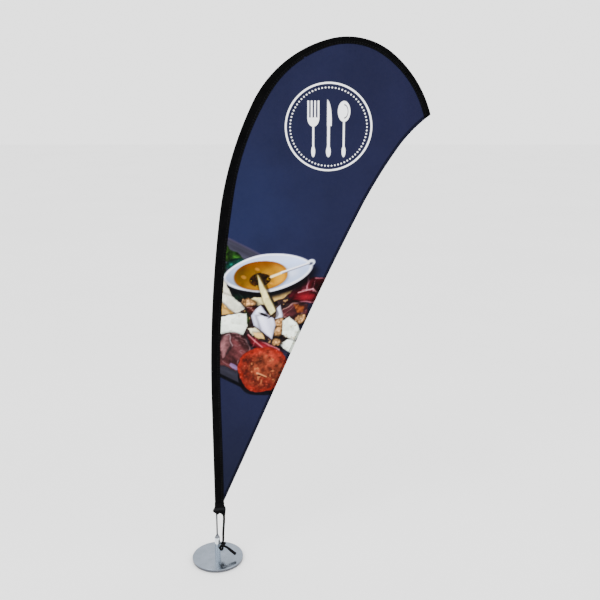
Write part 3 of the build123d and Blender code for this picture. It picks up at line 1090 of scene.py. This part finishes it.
def stitch_rows(name, rows, material):
    """Stitches along rows; a row is its stops, a function that places them, and its way out."""
    one = tube_faces(len(STITCH_RINGS), STITCH_SIDES)
    points, faces = [], []
    for stops, place, out in rows:
        ends = np.concatenate([stops, stops + STITCH_LENGTH])
        spots = np.stack(place(ends), axis=1)
        for k in range(len(stops)):
            shift = len(points)
            points += stitch(spots[k], spots[k + len(stops)], np.array(out))
            faces += [[corner + shift for corner in face] for face in one]
    return mesh_piece(name, points, faces, material)


def hem_line(across, side):
    """Places a row of stitches on the hem, at a distance in from the flag's edge."""
    def place(s):
        x, z, _ = TRAILING.at(s, across)
        return x, drape(x, z) + side * (HEM_T / 2 + STITCH_LIFT), z
    return place


def seam_line(inset, side):
    """Places a row of stitches on the sleeve, at a distance in from the flap's edge."""
    def place(s):
        width = sleeve_width(s)[0]
        return sleeve_point(s, width - inset, side, SLEEVE_T / 2 + STITCH_LIFT)
    return place


def make_stitches():
    hem_stops = np.arange(FIRST_STITCH, TRAILING.length - 6, STITCH_PITCH)
    seam_stops = np.arange(3.0, POLE.length - 4, STITCH_PITCH)
    hem_rows, seam_rows = [], []
    for side in (-1, 1):
        out = (0, side, 0)
        hem_rows.append((hem_stops, hem_line(2.3, side), out))
        seam_rows += [(seam_stops, seam_line(inset, side), out) for inset in (0.9, 2.4)]
    return [stitch_rows("hem_stitches", hem_rows, THREAD),
            stitch_rows("seam_stitches", seam_rows, THREAD)]


# ---- the cuff at the sleeve's foot ----

CUFF_TOP, CUFF_WALL = 74.0, 0.42
CUFF_AROUND, CUFF_DOWN = 144, 36
# The cuff's ends and half depths at some heights, and its open edge's height at some x.
CUFF_LEFT = [(50, -3.6), (60, -4.5), (63, -4.7), (64.5, -4.5), (66.6, -3.1), (69.2, -2.2),
             (71, -1.95), (74, -2.05)]
CUFF_RIGHT = [(50, 9.5), (57, 9.8), (60, 10.1), (67, 10.9), (69, 10.4), (71, 9.3), (74, 9.45)]
CUFF_ROUND_Y = [(50, 2.5), (60, 2.45), (66, 2.3), (71, 1.95), (74, 1.95)]
CUFF_FLAT_Y = [(50, 1.7), (60, 1.6), (66, 1.25), (71, 0.8), (74, 0.75)]
CUFF_BOTTOM = [(-4.8, 63.4), (-3.4, 62.9), (-1.8, 61.8), (0.5, 60.2), (2.2, 60.8), (4, 61.6),
               (6.4, 59.2), (8.4, 57.4), (11, 58.2)]
# The stitched band, in height; its thread leaves a gap along the band's middle.
BAND_LOW, BAND_HIGH, BAND_GAP = 65.1, 68.3, 66.7


def look_up(table, value):
    """The second numbers of a table at places between its first numbers."""
    return np.interp(value, *zip(*table))


def rounding(distance, reach):
    """0 at an edge and 1 from `reach` on, like a quarter of a circle."""
    t = np.clip(distance / reach, 0, 1)
    return np.sqrt(t * (2 - t))


def cuff_wall(angle, z, inset):
    """The cuff's outline at a height: round about the pole, flatter towards the flag."""
    left, right = look_up(CUFF_LEFT, z) + inset, look_up(CUFF_RIGHT, z) - inset
    middle, half = (left + right) / 2, (right - left) / 2
    x = middle + half * np.sign(np.cos(angle)) * np.abs(np.cos(angle))**0.85
    blend = smooth(x, 0.5, 6)
    deep = look_up(CUFF_ROUND_Y, z) * (1 - blend) + look_up(CUFF_FLAT_Y, z) * blend
    ease = rounding(x - left, 2.2) * rounding(right - x, 1.6)
    return x, np.sign(np.sin(angle)) * (deep - inset) * ease


def cuff_folds(angle, z):
    """Ruffles that grow from the neck down to the open edge."""
    waves = 0.34 * np.sin(3 * angle + 0.8 + z / 5) + 0.22 * np.sin(7 * angle + z / 3.1)
    waves = waves + 0.1 * np.sin(13 * angle)
    return waves * (1 - smooth(z, 62, 71))


def cuff_layer(inset):
    """One face of the cuff's cloth: the outer one, or the inner one at an inset."""
    angle = np.linspace(0, 2 * math.pi, CUFF_AROUND, endpoint=False)
    share = np.linspace(0, 1, CUFF_DOWN)
    x_guess = cuff_wall(angle, np.full(CUFF_AROUND, 62.0), 0)[0]
    fray = 0.25 * np.sin(5 * angle + 0.5) + 0.16 * np.sin(9 * angle + 1)
    bottom = look_up(CUFF_BOTTOM, x_guess) + fray + 0.5 * np.maximum(np.sin(angle), 0)
    z = CUFF_TOP + (bottom[None, :] - CUFF_TOP) * share[:, None]
    a = np.broadcast_to(angle, z.shape)
    x, y = cuff_wall(a, z, inset)
    crumple = 0.12 * np.sin(z * 1.3 + 4 * a) * np.sin(5 * a + 1)
    lift = cuff_folds(a, z) + crumple
    if inset == 0:
        lift = lift + 0.16 * smooth(z, 65.2, 65.5) * (1 - smooth(z, 67.9, 68.2))
    y = y + np.sin(a) * lift
    x = x + np.cos(a) * lift * 0.6
    pull = smooth(x, 5.5, 8.5) * (1 - smooth(z, 58, 63))
    y = y * (1 - 0.12 * pull)
    return np.stack([x.ravel(), y.ravel(), z.ravel()], axis=1)


def make_cuff():
    outer, inner = cuff_layer(0.0), cuff_layer(CUFF_WALL)
    count = CUFF_AROUND * CUFF_DOWN
    faces = grid_faces(CUFF_DOWN, CUFF_AROUND, wrap=True)
    faces += grid_faces(CUFF_DOWN, CUFF_AROUND, count, wrap=True, flip=True)
    ring = np.append(np.arange(CUFF_AROUND), 0)
    for row, turned in ((0, False), (CUFF_DOWN - 1, True)):
        near = row * CUFF_AROUND + ring
        faces += rim_faces(near, near + count, turned)
    points = np.concatenate([outer, inner])
    z = points[:, 2]
    band = smooth(z, BAND_LOW, BAND_LOW + 0.4) * (1 - smooth(z, BAND_HIGH - 0.4, BAND_HIGH))
    thread = band * (0.5 + 0.5 * np.sin(points[:, 0] * 5.2)) * (np.abs(z - BAND_GAP) > 0.5)
    dark, light = np.array((0.0015, 0.0015, 0.0018)), np.array((0.016, 0.016, 0.018))
    colour = dark + (light - dark) * (0.35 * band + 0.65 * thread)[:, None]
    around = np.tile(np.linspace(0, 30, CUFF_AROUND), 2 * CUFF_DOWN)
    uv = np.stack([around, z], axis=1)
    return mesh_piece("sleeve_cuff_cloth", points, faces, CUFF_CLOTH, uv, colour)


# ---- the cord ----

CORD_R = 1.3
# Along the cord: the knot's start, the run that is squeezed in the eye, and the tail's start.
KNOT_START, EYE_RUN, TAIL_START = 36.0, (37.5, 40.3, 43.5), 74.0
# How much thicker the free run and the tail's end are, and how much the eye takes away.
FREE_SWELL, TAIL_SWELL, EYE_SQUEEZE = 1.12, 1.75 / CORD_R, 0.2
# From the cuff down to the eye, twice round in a knot, and out along the tail.
CORD_POINTS_M = [
    (0.0086, 0.0, 0.0595), (0.0086, 0.0, 0.05), (0.0072, -0.0018, 0.036), (0.0072, -0.0018, 0.0248),
    (0.0058, -0.0022, 0.0216), (0.0042, 0.0004, 0.0198), (0.0052, 0.003, 0.0184), (0.0074, 0.0029, 0.0193),
    (0.0091, 0.0006, 0.0209), (0.0087, -0.004, 0.022), (0.0062, -0.0062, 0.0216), (0.0035, -0.0056, 0.0196),
    (0.0039, -0.0048, 0.0146), (0.006, -0.0017, 0.0132), (0.006, -0.001, 0.0176), (0.0082, -0.0026, 0.0186),
    (0.0124, -0.0032, 0.0166), (0.0174, -0.005, 0.0128), (0.022, -0.0066, 0.0102),
]
CORD_SIDES = 24
CORD_STEP = 0.22
BRAID_STRANDS, BRAID_PITCH = 6, 7.0
BRAID_DEPTH = 0.055


def cord_spline():
    """The cord's middle as a smooth curve through the run of CORD_POINTS_M."""
    curve = bpy.data.curves.new("cord_route", "CURVE")
    curve.dimensions = "3D"
    curve.resolution_u = 24
    spline = curve.splines.new("NURBS")
    spline.points.add(len(CORD_POINTS_M) - 1)
    for point, place in zip(spline.points, CORD_POINTS_M):
        point.co = (*place, 1.0)
    spline.order_u = 3
    spline.use_endpoint_u = True
    return curve


def cord_path():
    """Evenly spaced points in millimetres along the cord's spline."""
    curve = cord_spline()
    holder = bpy.data.objects.new("cord_route", curve)
    mesh = bpy.data.meshes.new_from_object(holder)
    points = np.array([vertex.co[:] for vertex in mesh.vertices]) / MM
    bpy.data.objects.remove(holder)
    bpy.data.curves.remove(curve)
    bpy.data.meshes.remove(mesh)
    steps = np.linalg.norm(np.diff(points, axis=0), axis=1)
    run = np.concatenate([[0], np.cumsum(steps)])
    stops = np.linspace(0, run[-1], round(run[-1] / CORD_STEP) + 1)
    return np.stack([np.interp(stops, run, points[:, axis]) for axis in range(3)], axis=1), run[-1]


def frames_along(path):
    """Two directions square to the path at each point that turn as little as they can."""
    along = np.gradient(path, axis=0)
    along /= np.linalg.norm(along, axis=1)[:, None]
    side = np.cross(along[0], (0.0, 1.0, 0.0))
    sides = []
    for direction in along:
        side = side - direction * np.dot(side, direction)
        side = side / np.linalg.norm(side)
        sides.append(side)
    sides = np.array(sides)
    return sides, np.cross(along, sides), along


def cord_radius(s, angle, length):
    """The cord's radius: braided, swollen where it is free, and squeezed in the eye."""
    turn = 2 * math.pi * s / BRAID_PITCH
    weave = np.cos(BRAID_STRANDS * (angle + turn)) * np.cos(BRAID_STRANDS * (angle - turn))
    radius = CORD_R * (1 - BRAID_DEPTH + BRAID_DEPTH * weave + 0.015 * np.sin(s / 1.3))
    from_end = length - s
    radius = radius * (FREE_SWELL - (FREE_SWELL - 1) * smooth(s, KNOT_START - 4, KNOT_START))
    radius = radius * (1 + (TAIL_SWELL - 1) * smooth(s, TAIL_START, length - 6))
    in_eye = smooth(s, EYE_RUN[0], EYE_RUN[1]) * (1 - smooth(s, EYE_RUN[1], EYE_RUN[2]))
    radius = radius * (1 - EYE_SQUEEZE * in_eye)
    end_bulge = 0.06 * (1 - smooth(from_end, 1.2, 2.6)) - 0.25 * (1 - smooth(from_end, 0, 0.5))
    return radius * (1 + end_bulge)


def make_cord():
    path, length = cord_path()
    side, other, along = frames_along(path)
    count = len(path)
    s = np.linspace(0, length, count)[:, None]
    angle = np.linspace(0, 2 * math.pi, CORD_SIDES, endpoint=False)[None, :]
    radius = cord_radius(s, angle, length)
    ring = side[:, None, :] * np.cos(angle)[..., None] + other[:, None, :] * np.sin(angle)[..., None]
    points = (path[:, None, :] + ring * radius[..., None]).reshape(-1, 3)
    faces = grid_faces(count, CORD_SIDES, wrap=True, flip=True)
    caps = np.stack([path[0] - along[0] * 0.2, path[-1] + along[-1] * 0.25])
    first, last = len(points), len(points) + 1
    tail = (count - 1) * CORD_SIDES
    for k in range(CORD_SIDES):
        after = (k + 1) % CORD_SIDES
        faces.append([first, k, after])
        faces.append([last, tail + after, tail + k])
    points = np.concatenate([points, caps])
    around = np.concatenate([np.tile(angle.ravel() * CORD_R, count), [0, 0]])
    run = np.concatenate([np.repeat(s.ravel(), CORD_SIDES), [0, length]])
    piece = mesh_piece("elastic_cord", points, faces, CORD_BRAID, np.stack([around, run], axis=1))
    return piece, path, length


# ---- camera, floor and lights ----

CAMERA_PLACE_M = (0.0979, -0.85, 0.556)
LOOK_DOWN = 15.5
LENS, SENSOR = 48.62, 36.0
WORLD_STRENGTH = 2.4
LIGHT_AIM_M = (0.08, 0, 0.3)
# Name, place in metres, width in metres and power in watts.
SOFT_LIGHTS = [
    ("key_light", (-0.9, -1.2, 1.6), 0.9, 14.0),
    ("fill_light", (1.3, -0.9, 0.9), 1.2, 7.0),
]
FLOOR_SIZE = 6000.0


def make_camera():
    camera = bpy.data.cameras.new("camera")
    camera.lens, camera.sensor_width = LENS, SENSOR
    camera.clip_start, camera.clip_end = 0.01, 50.0
    holder = bpy.data.objects.new("camera", camera)
    holder.location = CAMERA_PLACE_M
    holder.rotation_euler = (math.radians(90 - LOOK_DOWN), 0, 0)
    bpy.context.scene.collection.objects.link(holder)
    bpy.context.scene.camera = holder


def make_floor():
    s = Surface("pale_floor", Roughness=0.9)
    s.to(s.mix(s.scaled(s.noise(3.0), 0.0, 1.0), (0.93, 0.93, 0.93), (0.9, 0.9, 0.9)), "Base Color")
    corners = [(FLOOR_SIZE * x, FLOOR_SIZE * y, 0) for x, y in ((-1, -1), (1, -1), (1, 1), (-1, 1))]
    floor = mesh_piece("floor", corners, [[0, 1, 2, 3]], s.material)


def make_lights():
    world = bpy.data.worlds.new("studio")
    world.use_nodes = True
    sky = world.node_tree.nodes["Background"]
    sky.inputs[0].default_value = (1.0, 1.0, 1.0, 1.0)
    sky.inputs[1].default_value = WORLD_STRENGTH
    bpy.context.scene.world = world
    aim = Vector(LIGHT_AIM_M)
    for name, place, size, power in SOFT_LIGHTS:
        light = bpy.data.lights.new(name, "AREA")
        light.shape = "DISK"
        light.size = size
        light.energy = power
        holder = bpy.data.objects.new(name, light)
        holder.location = place
        holder.rotation_euler = (aim - Vector(place)).to_track_quat("-Z", "Y").to_euler()
        bpy.context.scene.collection.objects.link(holder)


# ---- putting it together ----

make_camera()
cord, cord_route, cord_length = make_cord()
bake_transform(cord)
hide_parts("tension_cord", "cord_knot", "cord_tail")

panel = make_panel()
hem = make_hem()
sleeve = make_sleeve()
cuff = make_cuff()
hem_stitches, seam_stitches = make_stitches()
for piece in (panel, hem, sleeve, cuff, hem_stitches, seam_stitches):
    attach(piece, "pole")
for piece, node, name in ((panel, "flag_panel", "panel_fabric"), (sleeve, "pole_sleeve", "sleeve_fabric"),
                          (cuff, "sleeve_cuff", "cuff_fabric")):
    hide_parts(node)

dress_cad()
make_floor()
make_lights()
